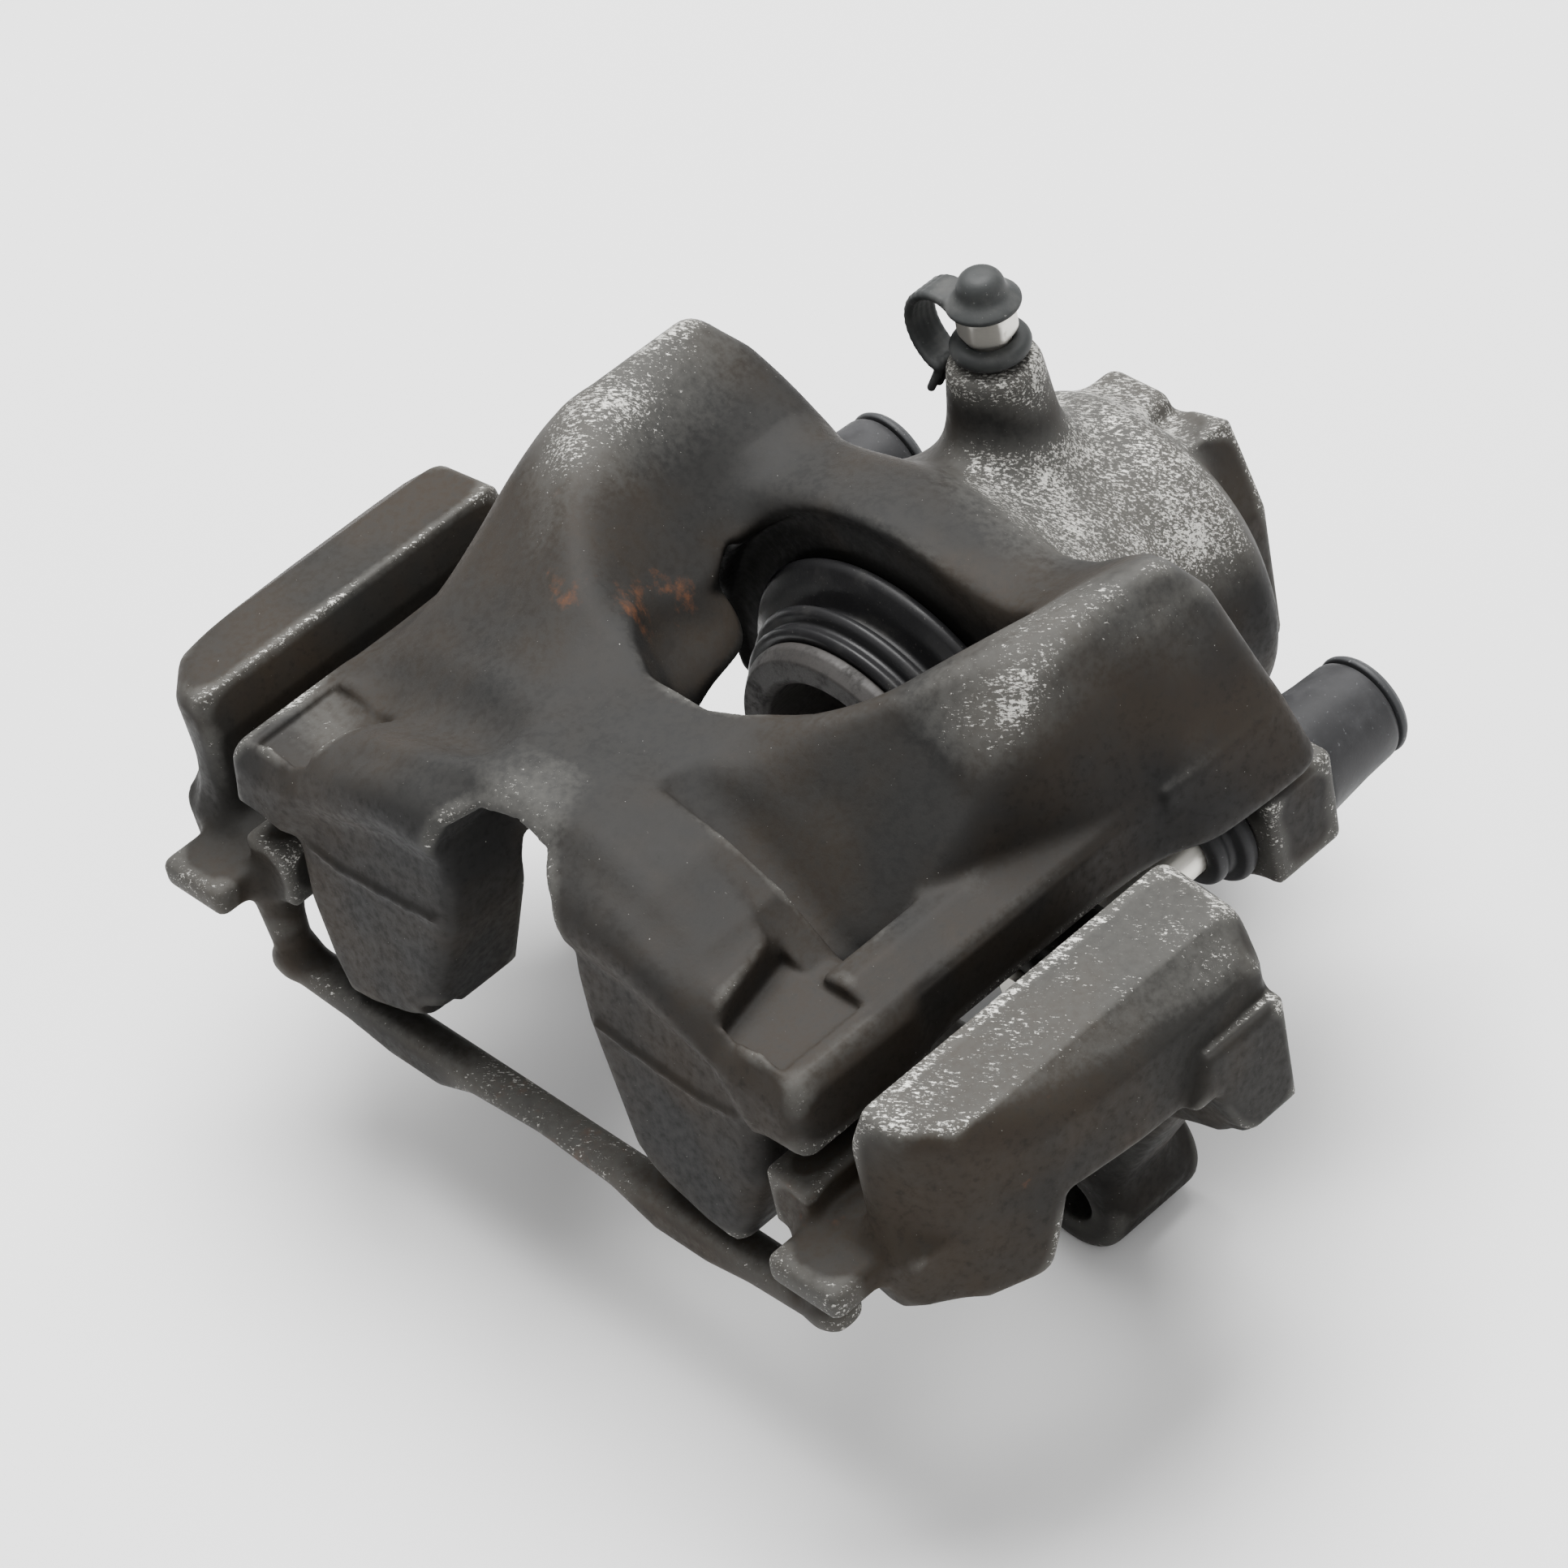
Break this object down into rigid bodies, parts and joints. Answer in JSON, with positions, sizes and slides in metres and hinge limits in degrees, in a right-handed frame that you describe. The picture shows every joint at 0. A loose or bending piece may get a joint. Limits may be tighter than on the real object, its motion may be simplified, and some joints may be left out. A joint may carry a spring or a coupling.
{
  "type": "brake caliper",
  "caption": "Sliding frame brake caliper with a hollow piston, twin outboard fingers, bridge window, rubber guide bushes, bleeder and a carrier bracket that bolts to the knuckle.",
  "frame": {"origin": "midpoint between the two knuckle bolt holes, on the mounting face", "axes": "+X across the caliper between the knuckle bolts, +Y inboard along the piston axis towards the knuckle and brake hose, +Z radially outwards through the bridge window"},
  "size_m": [0.215, 0.181, 0.1402],
  "materials": {
    "carrier_iron": "worn dark coating over cast iron, bright chips on edges, brown stains",
    "housing_iron": "worn dark coating over cast iron, bright chips on ridges, light rust at the window",
    "zinc_steel": "zinc plated, dirt lines",
    "bush_rubber": "satin, dusty",
    "cap_plastic": "matt grey-black",
    "piston_steel": "dull, dusty brown-grey rim",
    "seal_rubber": "smooth",
    "boot_rubber": "satin with grey dust",
    "ring_steel": "plain",
    "bleeder_steel": "plated, worn",
    "cap_rubber": "satin, dusty"
  },
  "bodies": {
    "carrier": {"carrier_bracket": "carrier_iron", "guide_pin_left": "zinc_steel", "guide_pin_right": "zinc_steel"},
    "caliper": {"caliper_housing": "housing_iron", "guide_bush_left": "bush_rubber", "guide_bush_right": "bush_rubber", "bush_cap_left": "cap_plastic", "bush_cap_right": "cap_plastic", "piston_seal": "seal_rubber", "piston_boot": "boot_rubber", "boot_ring": "ring_steel", "bleeder_cap": "cap_rubber"},
    "piston": {"piston": "piston_steel"},
    "bleeder": {"bleeder_screw": "bleeder_steel"}
  },
  "joints": [
    {"name": "caliper_slide", "type": "slide", "parent": "carrier", "child": "caliper", "axis": [0, 1, 0], "range_m": [-0.006, 0.016]},
    {"name": "piston_slide", "type": "slide", "parent": "caliper", "child": "piston", "axis": [0, -1, 0], "range_m": [-0.016, 0.012], "deforming": ["piston_boot"]},
    {"name": "bleeder_turn", "type": "hinge", "parent": "caliper", "child": "bleeder", "pos_m": [-0.006, 0.0495, 0.11], "axis": [0, 0, 1], "range_deg": [0, 180]}
  ]
}
